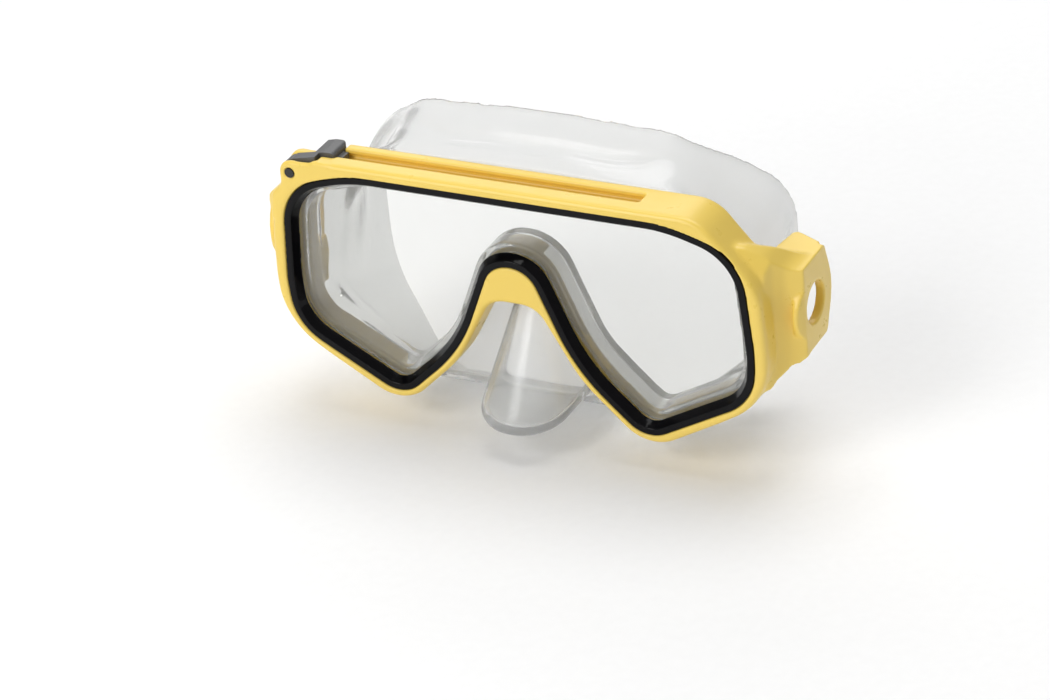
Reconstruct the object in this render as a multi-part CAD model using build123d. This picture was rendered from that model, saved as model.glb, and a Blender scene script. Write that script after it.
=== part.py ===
from build123d import *
import os

# Diving mask with one flat lens. Millimetres.
# Modelling axes: +X to the wearer's left, +Y back towards the face, +Z up.
# y = 0 is the front of the frame, z = 0 is the middle of the lens, x = 0 is the nose line.
# The finished parts are shifted so that the origin is the middle of the underside.
ORIGIN_Y = 19.47
ORIGIN_Z = -44.3

# Front ring and lens
FRAME_DEPTH = 14.0
NOSE_FRAME_DEPTH = 9.4
FRONT_ROUND = 1.5
CLEVIS_ROUND = 0.8
BACK_ROUND = 1.2
BEZEL_FRONT = 0.3
BEZEL_BACK = 3.0
BEZEL_SEAT = 3.05
LENS_FRONT = 3.1
LENS_BACK = 6.1
BEAD_FRONT = 6.2
BEAD_BACK = 8.1
LEDGE_FRONT = 8.2
FIT_GAP = 0.1
RECESS_INSET = 1.8
LENS_INSET = 2.0
OPENING_INSET = 3.5
LEDGE_INSET = 3.2
TUNNEL_INSET = 3.5
SILICONE = 1.6

# Side arms that carry the strap buckles
ARM_FRONT = 4.6
EAR_X = 80.6
EAR_INNER_X = 77.9
EAR_TOP = 18.4
EAR_BOTTOM = -8.0
FLANGE_UNDERSIDE = 16.0
STRAP_HOLE_R = 6.0
STRAP_HOLE_Y = 19.6
STRAP_HOLE_Z = 4.8
BOSS_R = 9.5
BOSS_Y = 18.2
BOSS_Z = 4.6
EAR_BEVEL = 4.0

# Accessory rail in the top of the frame
RAIL_TOP = 35.5
RAIL_X = (-52.7, 37.8)
SLOT_Y = (5.7, 10.4)
SLOT_FLOOR = 32.2
SLOT_LIP = 34.0
UNDERCUT = 1.1

# Rail latch
PIN_X = -65.0
PIN_Z = 31.2
PIN_R = 1.4
PIN_Y = (0.1, 9.1)
PIN_HOLE_R = 1.43
LEVER_BORE_R = 1.45
CLEVIS_R = 3.6
CLEVIS_BACK = 9.2
CLEVIS_GAP = (2.0, 6.0)
CLEVIS_FLOOR = 27.5
LATCH_POCKET_X = (-60.2, -52.7)
LATCH_POCKET_FLOOR = 32.4
BARREL_R = 3.1
BARREL_Y = (2.2, 5.8)
NOSE_Y = (4.9, 13.2)
NOSE_END = -53.0
TOOTH_Y = (5.9, 10.2)
TOOTH_END = -51.4
SPRING_WIRE_R = 0.25
SPRING_R = 1.95
SPRING_TURNS = 4
SPRING_Y = 3.3
SPRING_NOTCH_R = 2.6
SPRING_NOTCH_TOP = 2.4

# Skirt
SKIRT_FRONT = 14.4
SKIRT_STEP = 20.0
SKIRT_BACK = 52.0
SKIRT_WALL = 1.9
NOSE_TOP = {"z": -1.0, "half": 6.0, "tip": 13.0, "root": 20.0}
NOSE_LOW = {"z": -38.0, "half": 16.9, "tip": -13.2, "root": 14.0}
NOSE_FLOOR_RISE = 0.13
NOSE_FLOOR_Z = -35.3
NOSE_ROUND = 2.6

# Right halves of the front outlines, clockwise from the top: (x, z, corner radius)
BEZEL_HALF = [
    (47.0, 32.9, 48.0),
    (68.1, 26.6, 17.0),
    (70.5, -3.0, 40.0),
    (69.6, -17.4, 16.0),
    (37.2, -35.4, 9.0),
    (17.4, -16.8, 55.0),
    (5.6, 12.0, 8.0),
]
RIM_HALF = [
    (56.7, RAIL_TOP, 12.0),
    (73.0, 17.1, 18.0),
    (74.0, -2.0, 60.0),
    (73.3, -17.8, 22.0),
    (37.4, -38.6, 12.0),
    (18.4, -20.1, 40.0),
    (6.9, 0.8, 7.5),
]
SKIRT_FRONT_HALF = [
    (12.0, 35.6, 80.0),
    (47.0, 34.6, 16.0),
    (66.5, 18.0, 16.0),
    (67.0, -12.0, 20.0),
    (38.0, -36.0, 12.0),
]
SKIRT_STEP_HALF = [
    (12.0, 39.0, 80.0),
    (40.0, 36.6, 14.0),
    (66.0, 14.0, 16.0),
    (66.5, -12.0, 20.0),
    (37.0, -39.2, 12.0),
]
SKIRT_BACK_HALF = [
    (10.0, 64.0, 80.0),
    (32.0, 61.0, 24.0),
    (63.8, 23.0, 26.0),
    (64.0, -24.0, 30.0),
    (30.0, -56.0, 16.0),
]

# Curve of the face seen from above, right half: (x, y)
FACE_HALF = [
    (0, 29.0),
    (20, 29.3),
    (34, 30.2),
    (41, 32.2),
    (46.8, 36.3),
    (53.4, 41.4),
    (61.5, 46.8),
    (67, 50.0),
]

DIRECTION = {"x": (1, 0, 0), "y": (0, 1, 0), "z": (0, 0, 1)}


def both_halves(half):
    return half + [(-x, z, r) for x, z, r in reversed(half)]


def grown(outline, distance):
    """The same filleted outline, moved outwards by distance all round (inwards if negative)."""
    moved = []
    count = len(outline)
    for i, (x, z, radius) in enumerate(outline):
        before = outline[i - 1]
        after = outline[(i + 1) % count]
        into = Vector(x - before[0], z - before[1]).normalized()
        out_of = Vector(after[0] - x, after[1] - z).normalized()
        turn = into.X * out_of.Y - into.Y * out_of.X
        normal = Vector(-into.Y, into.X) + Vector(-out_of.Y, out_of.X)
        shift = normal * (2 * distance / normal.dot(normal))
        corner = radius + distance if turn < 0 else radius - distance
        moved.append((x + shift.X, z + shift.Y, corner))
    return moved


def outline_face(outline, axis, level):
    """A flat face across the axis at that level; the outline is in the two other axes."""
    if axis == "x":
        points = [(level, u, v) for u, v, radius in outline]
    elif axis == "y":
        points = [(u, level, v) for u, v, radius in outline]
    else:
        points = [(u, v, level) for u, v, radius in outline]
    return make_face(FilletPolyline(*points, radius=[r for u, v, r in outline], close=True))


def prism(outline, axis, start, end):
    return extrude(outline_face(outline, axis, start), amount=end - start, dir=DIRECTION[axis])


def block(x_range, y_range, z_range):
    size = [high - low for low, high in (x_range, y_range, z_range)]
    centre = [(high + low) / 2 for low, high in (x_range, y_range, z_range)]
    return Pos(*centre) * Box(*size)


def pin_along_y(x, z, radius, y_range):
    length = y_range[1] - y_range[0]
    return Pos(x, y_range[0] + length / 2, z) * Rot(90, 0, 0) * Cylinder(radius, length)


def pin_along_x(y, z, radius, x_range):
    length = x_range[1] - x_range[0]
    return Pos(x_range[0] + length / 2, y, z) * Rot(0, 90, 0) * Cylinder(radius, length)


BEZEL = both_halves(BEZEL_HALF)
RIM = both_halves(RIM_HALF)


def shoulder_cut():
    """Leans the front of the arm back above the sloping corner of the rim."""
    (top_x, top_z, top_radius), (low_x, low_z, low_radius) = RIM_HALF[:2]
    along = Vector(low_x - top_x, 0, low_z - top_z).normalized()
    outwards = Vector(-along.Z, 0, along.X)
    start = Vector(top_x, 0, top_z) - along * 5
    corners = [start + outwards * s + Vector(0, y, 0) for s, y in ((-1, 0), (-1, 2.8), (7, 9.9), (7, 0))]
    return extrude(make_face(Polyline(*corners, close=True)), amount=32, dir=along)


def side_arm():
    """The right-hand arm: a hollow ear, closed in front and on top, open at the back and below."""
    plan = [
        (64, ARM_FRONT, 0),
        (72.6, ARM_FRONT, 0),
        (73.8, 7.2, 2.0),
        (76.2, 9.9, 7.0),
        (EAR_X, 12.2, 0),
        (EAR_X, 34, 0),
        (70.7, 34, 0),
        (68.6, 21.5, 5.0),
        (68.2, 13.0, 0),
        (64, 13.0, 0),
    ]
    front = [
        (60, 27.6, 0),
        (66.8, 26.6, 6.0),
        (72.0, 24.0, 10.0),
        (77.5, EAR_TOP, 8.0),
        (90, EAR_TOP, 0),
        (90, EAR_BOTTOM + 7, 0),
        (EAR_X, EAR_BOTTOM, 2.0),
        (72.4, -15.6, 14.0),
        (66, -20.6, 0),
        (60, -20.6, 0),
    ]
    side = [
        (0, 29, 0),
        (8, 26.4, 10.0),
        (14.6, 22.8, 6.0),
        (20.0, EAR_TOP, 6.0),
        (27.2, EAR_TOP, 1.5),
        (32.0, 5.0, 16.0),
        (26.6, EAR_BOTTOM, 1.5),
        (12.6, EAR_BOTTOM, 8.0),
        (4.0, -17.5, 0),
        (0, -17.5, 0),
    ]
    cavity = [
        (66, 14.2, 0),
        (70.5, 14.2, 2.0),
        (74.5, 12.8, 3.0),
        (EAR_INNER_X, 12.5, 0.8),
        (EAR_INNER_X, 40, 0),
        (66, 40, 0),
    ]
    flange = [
        (68.2, 12.5, 0),
        (EAR_INNER_X + 1, 12.5, 0),
        (EAR_INNER_X + 1, 28.0, 0),
        (70.4, 32.2, 1.5),
        (68.6, 21.5, 5.0),
    ]
    cheek = [
        (12.0, 3.0, 0),
        (20.0, 3.0, 1.5),
        (21.4, -4.0, 6.0),
        (17.5, -11.5, 4.0),
        (12.0, -12.0, 0),
    ]
    arm = prism(plan, "z", -40, 40) & prism(front, "y", 0, 40) & prism(side, "x", 60, 90)
    arm = arm - shoulder_cut()
    boss = pin_along_x(BOSS_Y, BOSS_Z, BOSS_R, (78.0, EAR_X))
    slant = [(EAR_X, 12.2, 0), (79.6, 8.6, 0), (79.6, 5.0, 0), (85, 5.0, 0), (85, 12.2, 0)]
    boss = boss & block((70, 90), (0, STRAP_HOLE_Y), (-20, 30))
    arm = arm + (boss - prism(slant, "z", -20, 30))
    arm = arm - prism(cavity, "z", -40, FLANGE_UNDERSIDE)
    arm = arm + prism(flange, "z", FLANGE_UNDERSIDE, EAR_TOP)
    arm = arm + prism(cheek, "x", 67.6, 69.8)
    return arm - pin_along_x(STRAP_HOLE_Y, STRAP_HOLE_Z, STRAP_HOLE_R, (76, 82))


def left_bevel():
    """The left ear's upper outer edge is rounded off more than the right one's."""
    corner = [
        (-EAR_X - 1, EAR_TOP - EAR_BEVEL - 0.1, 0),
        (-EAR_X, EAR_TOP - EAR_BEVEL - 0.1, 0),
        (-EAR_X, EAR_TOP, EAR_BEVEL),
        (-EAR_X + EAR_BEVEL + 0.1, EAR_TOP, 0),
        (-EAR_X + EAR_BEVEL + 0.1, EAR_TOP + 1, 0),
        (-EAR_X - 1, EAR_TOP + 1, 0),
    ]
    return prism(corner, "y", 5, 40)


def clevis():
    outline = [
        (-68.4, 27.2, 3.0),
        (-72.0, 24.0, 3.0),
        (-73.0, 16.0, 0),
        (-56.0, 16.0, 0),
        (-52.0, RAIL_TOP, 0),
        (-57.4, RAIL_TOP, 0),
        (-59.0, 34.6, 0),
        (-64.0, PIN_Z + CLEVIS_R, 4.0),
        (-68.4, PIN_Z + CLEVIS_R, 3.6),
    ]
    base = prism(outline, "y", 0, CLEVIS_BACK)
    return fillet(base.faces().sort_by(Axis.Y)[0].edges(), CLEVIS_ROUND)


def rail_slot():
    undercut_y = (SLOT_Y[0] - UNDERCUT, SLOT_Y[1] + UNDERCUT)
    return block(RAIL_X, SLOT_Y, (SLOT_FLOOR, 40)) + block(RAIL_X, undercut_y, (SLOT_FLOOR, SLOT_LIP))


def nose_relief():
    half = [(11.0, 13.0, 10.0), (27.0, -16.0, 30.0), (42.0, -30.0, 0), (42.0, -50.0, 0)]
    return prism(both_halves(half), "y", NOSE_FRAME_DEPTH, 20)


def frame():
    rim = prism(RIM, "y", 0, FRAME_DEPTH)
    rim = fillet(rim.faces().sort_by(Axis.Y)[0].edges(), FRONT_ROUND)
    rim = fillet(rim.faces().sort_by(Axis.Y)[-1].edges(), BACK_ROUND)
    right_arm = side_arm()
    left_arm = mirror(right_arm, Plane.YZ) - left_bevel()
    body = rim - nose_relief() + clevis() + right_arm + left_arm
    body = body - prism(BEZEL, "y", -5, BEZEL_SEAT)
    body = body - prism(grown(BEZEL, -RECESS_INSET), "y", -5, LEDGE_FRONT)
    body = body - prism(grown(BEZEL, -LEDGE_INSET), "y", -5, 20)
    body = body - rail_slot()
    body = body - block(LATCH_POCKET_X, (4.7, 20), (LATCH_POCKET_FLOOR, 50))
    body = body - block((-72, -57), CLEVIS_GAP, (CLEVIS_FLOOR, 50))
    return body - pin_along_y(PIN_X, PIN_Z, PIN_HOLE_R, (-5, 12))


def lens_bezel():
    ring = prism(grown(BEZEL, -FIT_GAP), "y", BEZEL_FRONT, BEZEL_BACK)
    wide = outline_face(grown(BEZEL, -LENS_INSET), "y", BEZEL_FRONT)
    narrow = outline_face(grown(BEZEL, -OPENING_INSET), "y", BEZEL_BACK)
    return ring - loft([wide, narrow])


def lens():
    glass = prism(grown(BEZEL, -LENS_INSET), "y", LENS_FRONT, LENS_BACK)
    across = glass.faces().sort_by(Axis.Y)
    return chamfer(across[0].edges() + across[-1].edges(), 0.3)


def between(top, low, z, key):
    share = (top["z"] - z) / (top["z"] - low["z"])
    return top[key] + share * (low[key] - top[key])


def nose_section(z, wall):
    """Plan section of the nose pocket, moved inwards by the wall thickness."""
    half = between(NOSE_TOP, NOSE_LOW, z, "half") - wall
    tip = between(NOSE_TOP, NOSE_LOW, z, "tip") + 1.2 * wall
    root = between(NOSE_TOP, NOSE_LOW, z, "root")
    right = [(0.75 * half, tip, 0.84 * half), (half, root, 0), (half, 24, 0)]
    return outline_face(both_halves(right), "z", z)


def nose_pocket(wall):
    """A pocket round the nose that widens downwards, with a floor that rises towards the back."""
    pocket = loft([nose_section(NOSE_TOP["z"] - wall, wall), nose_section(NOSE_LOW["z"], wall)])
    floor = [(y, NOSE_FLOOR_Z + wall + NOSE_FLOOR_RISE * y, 0) for y in (-20, 30)]
    pocket = pocket - prism(floor + [(30, -50, 0), (-20, -50, 0)], "x", -30, 30)
    return fillet(pocket.faces().sort_by(Axis.Z)[0].edges(), NOSE_ROUND - 0.6 * wall)


def behind_the_face():
    right = [(x, y, -70) for x, y in FACE_HALF]
    left = [(-x, y, -70) for x, y in reversed(FACE_HALF[1:])]
    end_x, end_y = FACE_HALF[-1]
    corners = [(end_x, end_y), (85, end_y), (85, 70), (-85, 70), (-85, end_y), (-end_x, end_y)]
    back = Polyline(*[(x, y, -70) for x, y in corners])
    return extrude(make_face(Spline(*left, *right) + back), amount=140, dir=(0, 0, 1))


def skirt():
    front = both_halves(SKIRT_FRONT_HALF)
    step = both_halves(SKIRT_STEP_HALF)
    back = both_halves(SKIRT_BACK_HALF)
    bead = prism(grown(BEZEL, -LENS_INSET), "y", BEAD_FRONT, BEAD_BACK)
    tunnel = prism(grown(BEZEL, -TUNNEL_INSET), "y", BEAD_FRONT, SKIRT_FRONT + 0.5)
    outside = [
        outline_face(front, "y", SKIRT_FRONT),
        outline_face(step, "y", SKIRT_STEP),
        outline_face(back, "y", SKIRT_BACK),
    ]
    inside = [
        outline_face(grown(front, -SKIRT_WALL), "y", SKIRT_FRONT + SILICONE),
        outline_face(grown(step, -SKIRT_WALL), "y", SKIRT_STEP + 0.4),
        outline_face(grown(back, -SKIRT_WALL), "y", SKIRT_BACK + 0.1),
    ]
    opening = prism(grown(BEZEL, -TUNNEL_INSET - SILICONE), "y", 0, SKIRT_FRONT + SILICONE + 0.5)
    body = bead + tunnel + loft(outside, ruled=True) + nose_pocket(0)
    body = body - loft(inside, ruled=True) - opening - nose_pocket(SILICONE)
    return body - behind_the_face()


def latch_lever():
    arm = [
        (PIN_X - 1.5, 33.6, 1.0),
        (PIN_X + 0.2, 34.7, 2.0),
        (-57.6, 36.2, 0),
        (-57.6, 32.8, 0),
        (-60.4, 29.6, 1.5),
        (-63.4, 28.8, 0),
    ]
    nose = [
        (-59.3, 35.8, 0),
        (-56.4, 36.5, 3.0),
        (NOSE_END, 36.5, 1.2),
        (NOSE_END, 32.7, 0),
        (-58.6, 32.7, 0),
    ]
    nose_plan = [
        (-60, NOSE_Y[0], 0),
        (-60, NOSE_Y[1], 0),
        (NOSE_END, NOSE_Y[1], 1.8),
        (NOSE_END, NOSE_Y[0], 0.5),
    ]
    lever = pin_along_y(PIN_X, PIN_Z, BARREL_R, BARREL_Y) + prism(arm, "y", *BARREL_Y)
    lever = lever + (prism(nose, "y", *NOSE_Y) & prism(nose_plan, "z", 30, 40))
    lever = lever + block((NOSE_END - 1, TOOTH_END), TOOTH_Y, (32.7, 34.6))
    lever = lever - pin_along_y(PIN_X, PIN_Z, LEVER_BORE_R, (0, 8))
    notch_y = (SPRING_Y - 0.1, SPRING_Y + 0.4 * SPRING_TURNS + 0.1)
    lever = lever - pin_along_y(PIN_X, PIN_Z, SPRING_NOTCH_R, notch_y)
    return lever - block((PIN_X - 5, PIN_X), notch_y, (PIN_Z - 5, PIN_Z + SPRING_NOTCH_TOP))


def latch_spring():
    """Coils lying side by side on the pin, with one straight leg down into the frame."""
    leg_x = (PIN_X - SPRING_R - SPRING_WIRE_R, PIN_X - SPRING_R + SPRING_WIRE_R)
    spring = block(leg_x, (SPRING_Y, SPRING_Y + 2 * SPRING_WIRE_R), (CLEVIS_FLOOR + 0.05, PIN_Z))
    for turn in range(SPRING_TURNS):
        y = SPRING_Y + SPRING_WIRE_R + 0.4 * turn
        spring = spring + Pos(PIN_X, y, PIN_Z) * Rot(90, 0, 0) * Torus(SPRING_R, SPRING_WIRE_R)
    return spring


shapes = {
    "frame": frame(),
    "lens_bezel": lens_bezel(),
    "lens": lens(),
    "skirt": skirt(),
    "latch_lever": latch_lever(),
    "latch_pin": pin_along_y(PIN_X, PIN_Z, PIN_R, PIN_Y),
    "latch_spring": latch_spring(),
}
os.makedirs("parts", exist_ok=True)
for name, shape in shapes.items():
    export_step(Pos(0, -ORIGIN_Y, -ORIGIN_Z) * shape, "parts/" + name + ".step")
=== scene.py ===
"""Diving mask: softened mouldings, a clear silicone skirt and a studio set, in metres."""

import bpy
import numpy as np
from mathutils import Matrix, Vector


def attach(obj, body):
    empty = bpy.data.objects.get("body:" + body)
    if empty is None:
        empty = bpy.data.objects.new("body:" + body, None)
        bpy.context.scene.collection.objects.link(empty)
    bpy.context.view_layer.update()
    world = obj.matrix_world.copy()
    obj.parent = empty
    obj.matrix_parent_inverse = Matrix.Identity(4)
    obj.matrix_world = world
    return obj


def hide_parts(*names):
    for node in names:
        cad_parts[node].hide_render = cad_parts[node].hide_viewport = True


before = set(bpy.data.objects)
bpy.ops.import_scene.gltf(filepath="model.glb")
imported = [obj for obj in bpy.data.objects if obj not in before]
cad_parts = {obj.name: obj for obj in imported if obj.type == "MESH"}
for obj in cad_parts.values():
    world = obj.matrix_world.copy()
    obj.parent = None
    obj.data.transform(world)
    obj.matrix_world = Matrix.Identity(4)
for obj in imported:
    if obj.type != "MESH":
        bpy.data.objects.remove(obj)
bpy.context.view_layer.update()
MM = 0.001

# Mesh making: parts of a millimetre, smoothing passes and the share moved in each pass.
WELD_GAP = 0.01 * MM
SMOOTH_SHARE = 0.5
WEIGHT_STEPS = 10
FRAME_GRID, FRAME_PASSES = 0.373 * MM, 8
BEZEL_GRID, BEZEL_PASSES = 0.193 * MM, 3
SKIRT_GRID, SKIRT_PASSES = 0.427 * MM, 6
LEVER_GRID, LEVER_PASSES = 0.097 * MM, 3

# Extra smoothing passes where the mouldings blend widely.
ARM_BLEND = 40
CORNER_BLEND = 200
NOSE_BLEND = 60
FACE_EDGE_BLEND = 40

# Skirt, in mm.
WAIST_DEPTH = 4.6
RIM_MIDDLE_Y = 9.5
RIM_SWEEP = 4.6
RIM_SWEEP_SIDE = 34.0
CREASE_BEFORE_RIM = 8.0
CREASE_WIDTH = 1.5
CREASE_DEPTH = 0.8

# Studio: places in metres, powers in watts.
LIGHT_TARGET = (0.0, 0.0, 0.045)
WORLD_STRENGTH = 0.30
FLOOR_SIZE = 12.0
FLOOR_DROP = 0.2 * MM
CAMERA_PLACE = (0.39954, -0.73612, 0.51101)
CAMERA_RIGHT = (0.895196, 0.436929, -0.087851)
CAMERA_UP = (-0.154379, 0.488926, 0.858556)
SENSOR_WIDTH = 36.0
FOCAL_LENGTH = 120.0

# The middle band of a noise value, which the shaders spread over their whole range.
NOISE_LOW, NOISE_HIGH = 0.3, 0.7


# ---------------------------------------------------------------- node helpers


def new_material(name):
    mat = bpy.data.materials.new(name)
    mat.use_nodes = True
    tree = mat.node_tree
    bsdf = tree.nodes["Principled BSDF"]
    return mat, tree, bsdf


def add(tree, kind, **values):
    node = tree.nodes.new(kind)
    for key, value in values.items():
        if key in node.inputs:
            node.inputs[key].default_value = value
        else:
            setattr(node, key, value)
    return node


def object_coords(tree):
    return add(tree, "ShaderNodeTexCoord").outputs["Object"]


def noise(tree, scale, detail=2.0, rough=0.5):
    """Noise in object space; scale is in features per metre."""
    node = add(tree, "ShaderNodeTexNoise", Scale=scale, Detail=detail, Roughness=rough)
    tree.links.new(object_coords(tree), node.inputs["Vector"])
    return node.outputs["Fac"]


def between(tree, factor, low, high):
    """A value that runs from low to high over the middle band of a noise value."""
    node = add(tree, "ShaderNodeMapRange")
    node.inputs["From Min"].default_value = NOISE_LOW
    node.inputs["From Max"].default_value = NOISE_HIGH
    node.inputs["To Min"].default_value = low
    node.inputs["To Max"].default_value = high
    tree.links.new(factor, node.inputs["Value"])
    return node.outputs["Result"]


def colours(tree, factor, *stops):
    """A colour ramp over the factor, from (place, colour) stops."""
    node = add(tree, "ShaderNodeValToRGB")
    elements = node.color_ramp.elements
    while len(elements) < len(stops):
        elements.new(0.5)
    for element, (place, colour) in zip(elements, stops):
        element.position = place
        element.color = (*colour, 1.0)
    tree.links.new(factor, node.inputs["Fac"])
    return node.outputs["Color"]


def bump(tree, height, strength, distance):
    node = add(tree, "ShaderNodeBump", Strength=strength, Distance=distance)
    tree.links.new(height, node.inputs["Height"])
    return node.outputs["Normal"]


def set_socket(bsdf, **values):
    """Constant values on the shader's own sockets; an underscore stands for a space."""
    for key, value in values.items():
        bsdf.inputs[key.replace("_", " ")].default_value = value


# ---------------------------------------------------------------- materials


def yellow_plastic():
    """Glossy lemon-yellow ABS with faint flow marks and handling scuffs."""
    mat, tree, bsdf = new_material("yellow_plastic")
    clouds = noise(tree, 22.0, 3.0)
    tint = colours(tree, clouds, (0.3, (0.86, 0.62, 0.12)), (0.7, (0.90, 0.65, 0.135)))
    tree.links.new(tint, bsdf.inputs["Base Color"])
    scuffs = noise(tree, 180.0, 6.0, 0.65)
    tree.links.new(between(tree, scuffs, 0.26, 0.36), bsdf.inputs["Roughness"])
    peel = noise(tree, 900.0, 2.0)
    tree.links.new(bump(tree, peel, 0.06, 0.02 * MM), bsdf.inputs["Normal"])
    set_socket(bsdf, IOR=1.5, Specular_IOR_Level=0.5)
    return mat


def black_plastic():
    mat, tree, bsdf = new_material("black_plastic")
    dust = noise(tree, 260.0, 5.0, 0.7)
    tint = colours(tree, dust, (0.35, (0.002, 0.002, 0.0025)), (0.8, (0.005, 0.0045, 0.0055)))
    tree.links.new(tint, bsdf.inputs["Base Color"])
    tree.links.new(between(tree, dust, 0.05, 0.1), bsdf.inputs["Roughness"])
    set_socket(bsdf, IOR=1.5, Specular_IOR_Level=0.15)
    return mat


def lens_glass():
    mat, tree, bsdf = new_material("lens_glass")
    smear = noise(tree, 35.0, 4.0)
    tint = colours(tree, smear, (0.2, (0.865, 0.87, 0.855)), (0.8, (0.885, 0.89, 0.875)))
    tree.links.new(tint, bsdf.inputs["Base Color"])
    tree.links.new(between(tree, smear, 0.0, 0.02), bsdf.inputs["Roughness"])
    set_socket(bsdf, IOR=1.5, Transmission_Weight=1.0)
    return mat


def clear_silicone():
    """Milky clear silicone: mostly transmitting, satin skin, faintly uneven."""
    mat, tree, bsdf = new_material("clear_silicone")
    clouds = noise(tree, 30.0, 3.0)
    tint = colours(tree, clouds, (0.25, (0.86, 0.865, 0.86)), (0.75, (0.88, 0.885, 0.88)))
    tree.links.new(tint, bsdf.inputs["Base Color"])
    skin = noise(tree, 60.0, 3.0, 0.5)
    tree.links.new(between(tree, skin, 0.12, 0.18), bsdf.inputs["Roughness"])
    set_socket(bsdf, IOR=1.3, Transmission_Weight=0.8, Specular_IOR_Level=0.9)
    return mat


def grey_plastic():
    mat, tree, bsdf = new_material("grey_plastic")
    grain = noise(tree, 2500.0, 3.0, 0.7)
    tint = colours(tree, grain, (0.3, (0.07, 0.07, 0.072)), (0.75, (0.12, 0.12, 0.122)))
    tree.links.new(tint, bsdf.inputs["Base Color"])
    tree.links.new(between(tree, grain, 0.3, 0.45), bsdf.inputs["Roughness"])
    tree.links.new(bump(tree, grain, 0.3, 0.04 * MM), bsdf.inputs["Normal"])
    set_socket(bsdf, IOR=1.5)
    return mat


def pin_black():
    mat, tree, bsdf = new_material("pin_black")
    grain = noise(tree, 1500.0, 3.0)
    tint = colours(tree, grain, (0.3, (0.008, 0.008, 0.008)), (0.8, (0.02, 0.02, 0.02)))
    tree.links.new(tint, bsdf.inputs["Base Color"])
    tree.links.new(between(tree, grain, 0.3, 0.5), bsdf.inputs["Roughness"])
    return mat


def spring_steel():
    mat, tree, bsdf = new_material("spring_steel")
    draw = noise(tree, 4000.0, 2.0)
    tint = colours(tree, draw, (0.3, (0.42, 0.42, 0.44)), (0.7, (0.58, 0.58, 0.6)))
    tree.links.new(tint, bsdf.inputs["Base Color"])
    tree.links.new(between(tree, draw, 0.22, 0.4), bsdf.inputs["Roughness"])
    set_socket(bsdf, Metallic=1.0)
    return mat


def floor_paper():
    mat, tree, bsdf = new_material("floor_paper")
    fibre = noise(tree, 300.0, 4.0)
    tint = colours(tree, fibre, (0.3, (0.95, 0.95, 0.95)), (0.7, (0.97, 0.97, 0.97)))
    tree.links.new(tint, bsdf.inputs["Base Color"])
    set_socket(bsdf, Roughness=1.0, Specular_IOR_Level=0.1)
    return mat


# ---------------------------------------------------------------- pieces


def apply_modifiers(obj):
    graph = bpy.context.evaluated_depsgraph_get()
    mesh = bpy.data.meshes.new_from_object(obj.evaluated_get(graph))
    obj.modifiers.clear()
    obj.data = mesh


def softened(node, name, voxel, passes):
    """A copy of a CAD node on a fine even mesh, smoothed so that every edge is a moulded one."""
    piece = bpy.data.objects.new(name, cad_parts[node].data.copy())
    bpy.context.scene.collection.objects.link(piece)
    piece.data.materials.clear()
    weld = piece.modifiers.new("weld", "WELD")
    weld.merge_threshold = WELD_GAP
    remesh = piece.modifiers.new("even", "REMESH")
    remesh.mode = "VOXEL"
    remesh.voxel_size = voxel
    remesh.use_smooth_shade = True
    smooth = piece.modifiers.new("soften", "SMOOTH")
    smooth.factor = SMOOTH_SHARE
    smooth.iterations = passes
    apply_modifiers(piece)
    return piece


def ramp(value, start, end):
    """0 before start, 1 after end, an eased slope between; start may be the larger one."""
    t = np.clip((value - start) / (end - start), 0.0, 1.0)
    return t * t * (3.0 - 2.0 * t)


def ridge(value, middle, width):
    """1 at the middle, falling away on both sides."""
    return np.exp(-(((value - middle) / width) ** 2))


def points_of(piece):
    """Vertex positions in mm, in the part's own axes."""
    flat = np.empty(3 * len(piece.data.vertices))
    piece.data.vertices.foreach_get("co", flat)
    return flat.reshape(-1, 3) / MM


def put_points(piece, points):
    piece.data.vertices.foreach_set("co", (points * MM).ravel())
    piece.data.update()


def relax(piece, weights, passes):
    """Smooth a piece again where the weights say so, to open a tight blend into a wide one."""
    group = piece.vertex_groups.new(name="soft")
    for level in range(1, WEIGHT_STEPS + 1):
        chosen = np.nonzero((weights * WEIGHT_STEPS).round() == level)[0].tolist()
        if chosen:
            group.add(chosen, level / WEIGHT_STEPS, "REPLACE")
    smooth = piece.modifiers.new("blend", "SMOOTH")
    smooth.factor = SMOOTH_SHARE
    smooth.iterations = passes
    smooth.vertex_group = group.name
    apply_modifiers(piece)
    piece.vertex_groups.clear()


def finish_piece(piece, material, body, slot, *nodes):
    piece.data.materials.clear()
    piece.data.materials.append(material)
    for polygon in piece.data.polygons:
        polygon.use_smooth = True
    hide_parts(*nodes)
    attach(piece, body)


def paint_node(node, material):
    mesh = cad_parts[node].data
    mesh.materials.clear()
    mesh.materials.append(material)


frame_moulding = softened("frame", "frame_moulding", FRAME_GRID, FRAME_PASSES)
x, y, z = points_of(frame_moulding).T
side = np.abs(x)
# The side arms run out of the ring in a wide valley.
valley = ramp(side, 58, 64) * ramp(side, 75, 70) * ramp(y, 4, -1)
relax(frame_moulding, valley, ARM_BLEND)
finish_piece(frame_moulding, yellow_plastic(), "mask", "yellow_plastic", "frame")

bezel_ring = softened("lens_bezel", "bezel_ring", BEZEL_GRID, BEZEL_PASSES)
finish_piece(bezel_ring, black_plastic(), "mask", "black_plastic", "lens_bezel")

skirt_moulding = softened("skirt", "skirt_moulding", SKIRT_GRID, SKIRT_PASSES)
points = points_of(skirt_moulding)
x, y, z = points.T
side = np.abs(x)
# The upper corners draw in behind the frame before they flare out to the face rim.
waist = ramp(y, -4.5, 1.0) * ramp(y, 20, 8) * ramp(z, 26, 60) * ramp(side, 42, 60)
points[:, 0] -= np.sign(x) * WAIST_DEPTH * waist
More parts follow.
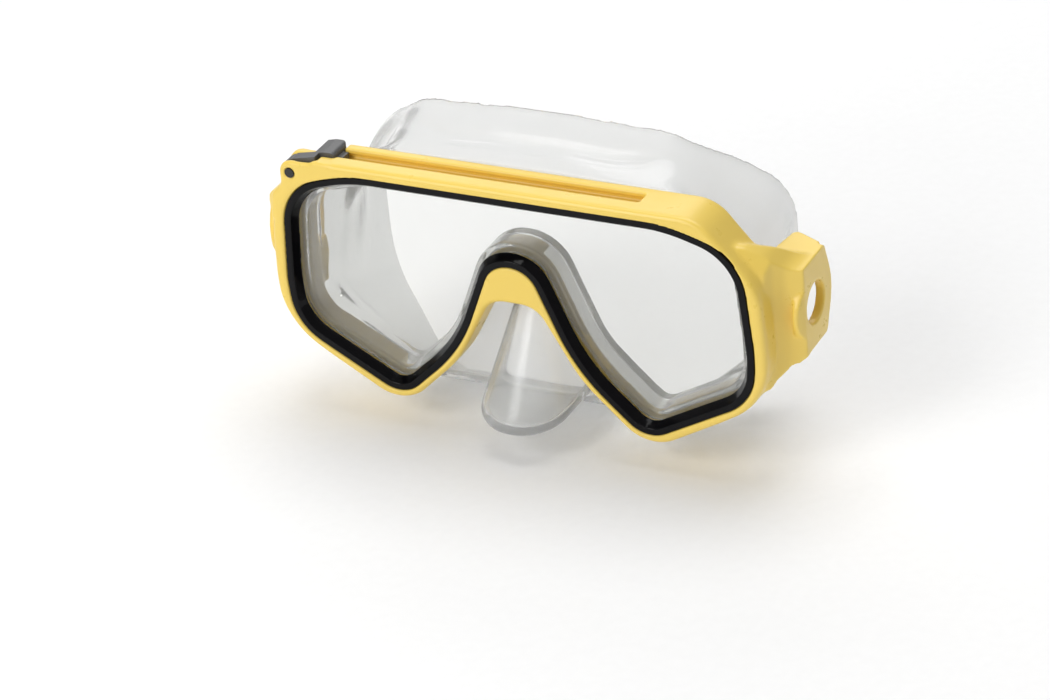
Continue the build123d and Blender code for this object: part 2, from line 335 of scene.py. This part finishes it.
# A soft crease runs along the brow, just before the face rim, which sweeps back at the sides.
rim_y = RIM_MIDDLE_Y + RIM_SWEEP * (side / RIM_SWEEP_SIDE) ** 2 * ramp(side, 10, 60)
crease = ridge(y, rim_y - CREASE_BEFORE_RIM, CREASE_WIDTH) * ramp(z, 62, 70)
points[:, 2] -= CREASE_DEPTH * crease
put_points(skirt_moulding, points)
# Wide blends at the nose pocket, the upper corners and the face rim.
nose = ramp(side, 27, 20) * ramp(z, 40, 30) * ramp(y, 6, 0)
corner = ramp(side, 32, 40) * ramp(z, 30, 45) * ramp(y, -5, -2)
before_edge = ramp(y, rim_y - 1.0, rim_y - 6.0)
face_edge = ramp(y, rim_y - 4.0, rim_y - 2.0) * ramp(z, 60, 66)
relax(skirt_moulding, corner * before_edge, CORNER_BLEND)
relax(skirt_moulding, nose, NOSE_BLEND)
relax(skirt_moulding, face_edge, FACE_EDGE_BLEND)
finish_piece(skirt_moulding, clear_silicone(), "mask", "clear_silicone", "skirt")

lever = softened("latch_lever", "lever", LEVER_GRID, LEVER_PASSES)
finish_piece(lever, grey_plastic(), "latch", "grey_plastic", "latch_lever")

paint_node("lens", lens_glass())
paint_node("latch_pin", pin_black())
paint_node("latch_spring", spring_steel())


# ---------------------------------------------------------------- studio


def area_light(name, place, size, power, height=0.0):
    """A round lamp of the given width, or a rectangular one when a height is given."""
    data = bpy.data.lights.new(name, "AREA")
    data.shape = "RECTANGLE" if height else "DISK"
    data.size = size
    if height:
        data.size_y = height
    data.energy = power
    lamp = bpy.data.objects.new(name, data)
    lamp.location = place
    aim = Vector(LIGHT_TARGET) - Vector(place)
    lamp.rotation_euler = aim.to_track_quat("-Z", "Y").to_euler()
    bpy.context.scene.collection.objects.link(lamp)


area_light("key", (-0.45, -0.95, 0.95), size=0.6, power=5.0)
area_light("top", (0.0, 0.3, 1.25), size=1.0, power=8.6)
area_light("front", (-0.28, -1.26, 0.55), size=0.9, power=4.8, height=0.4)
area_light("behind", (-0.67, 1.2, 0.85), size=1.2, power=5.0, height=0.8)

world = bpy.data.worlds.new("studio")
bpy.context.scene.world = world
world.use_nodes = True
background = world.node_tree.nodes["Background"]
background.inputs["Color"].default_value = (1.0, 1.0, 1.0, 1.0)
background.inputs["Strength"].default_value = WORLD_STRENGTH

bpy.ops.mesh.primitive_plane_add(size=FLOOR_SIZE, location=(0, 0, -FLOOR_DROP))
floor = bpy.context.active_object
floor.name = "floor"
floor.data.materials.append(floor_paper())

camera_data = bpy.data.cameras.new("camera")
camera_data.sensor_width = SENSOR_WIDTH
camera_data.lens = FOCAL_LENGTH
camera = bpy.data.objects.new("camera", camera_data)
right = Vector(CAMERA_RIGHT)
up = Vector(CAMERA_UP)
back = right.cross(up)
turn = Matrix((right, up, back)).transposed().to_4x4()
camera.matrix_world = Matrix.Translation(CAMERA_PLACE) @ turn
bpy.context.scene.collection.objects.link(camera)
bpy.context.scene.camera = camera
bpy.context.scene.view_settings.view_transform = "Standard"
